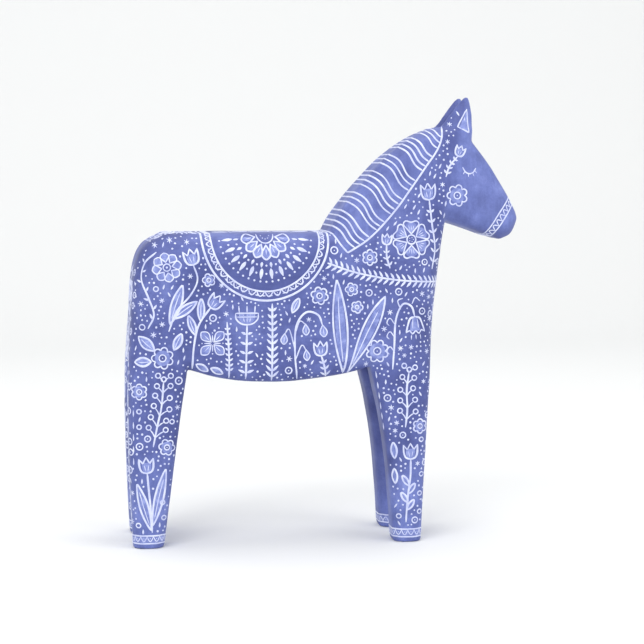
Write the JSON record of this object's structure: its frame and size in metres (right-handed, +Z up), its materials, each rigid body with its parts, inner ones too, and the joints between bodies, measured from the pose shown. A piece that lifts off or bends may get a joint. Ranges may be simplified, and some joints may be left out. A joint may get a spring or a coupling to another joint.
{
  "type": "dala horse",
  "caption": "Free-standing dala horse: a carved and glued-up pine horse figure, painted blue with white folk flowers, saddle and mane, for a shelf or table.",
  "frame": {"origin": "on the floor under the middle of the horse's box, between the four soles", "axes": "+X towards the head, +Y to the horse's left, +Z up from the soles to the ear tips"},
  "size_m": [0.2679, 0.084, 0.3],
  "materials": {
    "blue_paint": "satin",
    "white_paint": "satin",
    "birch_dowel": "matte"
  },
  "bodies": {
    "root": {"trunk_middle": "blue_paint", "trunk_right": "blue_paint", "trunk_left": "blue_paint", "neck_middle": "blue_paint", "neck_right": "blue_paint", "neck_left": "blue_paint", "leg_front_right": "blue_paint", "leg_front_left": "blue_paint", "leg_hind_right": "blue_paint", "leg_hind_left": "blue_paint", "leg_dowel_front_right": "birch_dowel", "leg_dowel_front_left": "birch_dowel", "leg_dowel_hind_right": "birch_dowel", "leg_dowel_hind_left": "birch_dowel", "neck_dowel_rear": "birch_dowel", "neck_dowel_front": "birch_dowel"}
  },
  "joints": []
}
